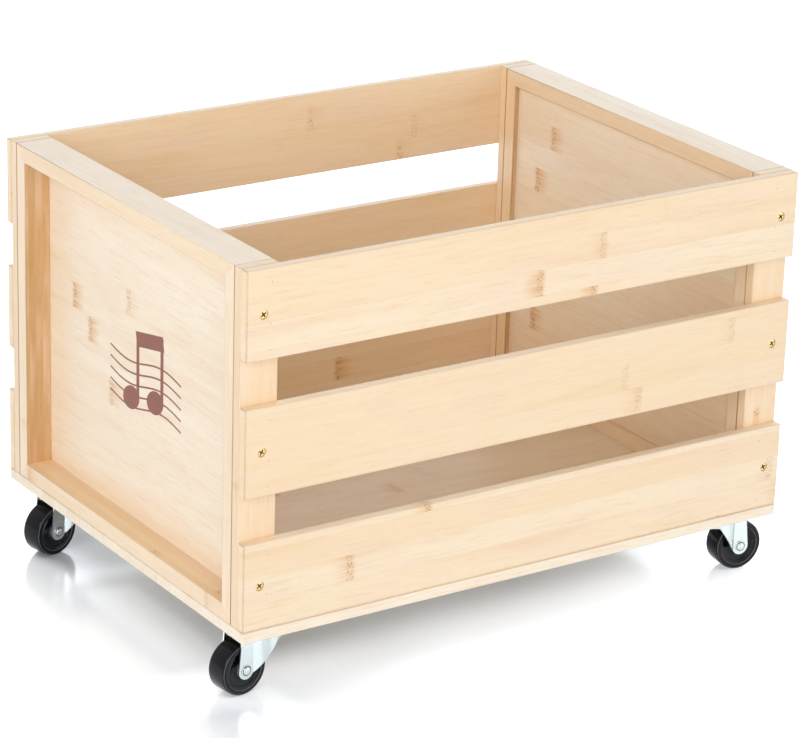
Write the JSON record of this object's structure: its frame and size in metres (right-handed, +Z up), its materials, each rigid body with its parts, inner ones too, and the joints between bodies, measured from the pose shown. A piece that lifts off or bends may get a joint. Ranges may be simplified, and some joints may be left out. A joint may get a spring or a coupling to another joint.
{
  "type": "record storage stand",
  "caption": "Open slatted bamboo crate that holds records on edge, with mitred framed end panels, a flat base board and swivel casters at the corners.",
  "frame": {"origin": "on the floor under the middle of the crate", "axes": "+X along the slats with the plain print end at -X, +Y from the front slats to the back slats, +Z up"},
  "size_m": [0.4706, 0.338, 0.314],
  "materials": {
    "bamboo": "satin clear lacquer on pale bamboo strips",
    "bamboo_panel": "satin clear lacquer on a pale bamboo panel",
    "screw_metal": "yellow passivated steel",
    "zinc_plated_steel": "bright zinc plate",
    "wheel_plastic": "glossy black"
  },
  "bodies": {
    "crate": {"base_board": "bamboo", "front_bottom_slat": "bamboo", "front_bottom_slat_screw_left": "screw_metal", "front_bottom_slat_screw_right": "screw_metal", "front_middle_slat": "bamboo", "front_middle_slat_screw_left": "screw_metal", "front_middle_slat_screw_right": "screw_metal", "front_top_slat": "bamboo", "front_top_slat_screw_left": "screw_metal", "front_top_slat_screw_right": "screw_metal", "front_left_batten": "bamboo", "front_right_batten": "bamboo", "back_bottom_slat": "bamboo", "back_bottom_slat_screw_left": "screw_metal", "back_bottom_slat_screw_right": "screw_metal", "back_middle_slat": "bamboo", "back_middle_slat_screw_left": "screw_metal", "back_middle_slat_screw_right": "screw_metal", "back_top_slat": "bamboo", "back_top_slat_screw_left": "screw_metal", "back_top_slat_screw_right": "screw_metal", "back_left_batten": "bamboo", "back_right_batten": "bamboo", "left_end_bottom_rail": "bamboo", "left_end_back_post": "bamboo", "left_end_top_rail": "bamboo", "left_end_front_post": "bamboo", "left_end_panel": "bamboo_panel", "right_end_bottom_rail": "bamboo", "right_end_back_post": "bamboo", "right_end_top_rail": "bamboo", "right_end_front_post": "bamboo", "right_end_panel": "bamboo_panel", "front_left_caster_plate": "zinc_plated_steel", "front_left_caster_king_pin": "zinc_plated_steel", "front_left_caster_ball_race": "zinc_plated_steel", "back_left_caster_plate": "zinc_plated_steel", "back_left_caster_king_pin": "zinc_plated_steel", "back_left_caster_ball_race": "zinc_plated_steel", "front_right_caster_plate": "zinc_plated_steel", "front_right_caster_king_pin": "zinc_plated_steel", "front_right_caster_ball_race": "zinc_plated_steel", "back_right_caster_plate": "zinc_plated_steel", "back_right_caster_king_pin": "zinc_plated_steel", "back_right_caster_ball_race": "zinc_plated_steel"},
    "front_left_swivel": {"front_left_caster_fork": "zinc_plated_steel", "front_left_caster_axle": "zinc_plated_steel"},
    "front_left_wheel": {"front_left_caster_wheel": "wheel_plastic"},
    "back_left_swivel": {"back_left_caster_fork": "zinc_plated_steel", "back_left_caster_axle": "zinc_plated_steel"},
    "back_left_wheel": {"back_left_caster_wheel": "wheel_plastic"},
    "front_right_swivel": {"front_right_caster_fork": "zinc_plated_steel", "front_right_caster_axle": "zinc_plated_steel"},
    "front_right_wheel": {"front_right_caster_wheel": "wheel_plastic"},
    "back_right_swivel": {"back_right_caster_fork": "zinc_plated_steel", "back_right_caster_axle": "zinc_plated_steel"},
    "back_right_wheel": {"back_right_caster_wheel": "wheel_plastic"}
  },
  "joints": [
    {"name": "front_left_swivel_turn", "type": "hinge", "parent": "crate", "child": "front_left_swivel", "pos_m": [-0.1964, -0.1374, 0.049], "axis": [0, 0, 1], "continuous": true},
    {"name": "front_left_wheel_roll", "type": "hinge", "parent": "front_left_swivel", "child": "front_left_wheel", "pos_m": [-0.21566, -0.14045, 0.019], "axis": [0.1564, -0.9877, 0], "continuous": true},
    {"name": "back_left_swivel_turn", "type": "hinge", "parent": "crate", "child": "back_left_swivel", "pos_m": [-0.1964, 0.1374, 0.049], "axis": [0, 0, 1], "continuous": true},
    {"name": "back_left_wheel_roll", "type": "hinge", "parent": "back_left_swivel", "child": "back_left_wheel", "pos_m": [-0.21532, 0.13268, 0.019], "axis": [0.2419, -0.9703, 0], "continuous": true},
    {"name": "front_right_swivel_turn", "type": "hinge", "parent": "crate", "child": "front_right_swivel", "pos_m": [0.1964, -0.1374, 0.049], "axis": [0, 0, 1], "continuous": true},
    {"name": "front_right_wheel_roll", "type": "hinge", "parent": "front_right_swivel", "child": "front_right_wheel", "pos_m": [0.21576, -0.13978, 0.019], "axis": [0.1219, 0.9925, 0], "continuous": true},
    {"name": "back_right_swivel_turn", "type": "hinge", "parent": "crate", "child": "back_right_swivel", "pos_m": [0.1964, 0.1374, 0.049], "axis": [0, 0, 1], "continuous": true},
    {"name": "back_right_wheel_roll", "type": "hinge", "parent": "back_right_swivel", "child": "back_right_wheel", "pos_m": [0.21547, 0.14145, 0.019], "axis": [-0.2079, 0.9781, 0], "continuous": true}
  ]
}
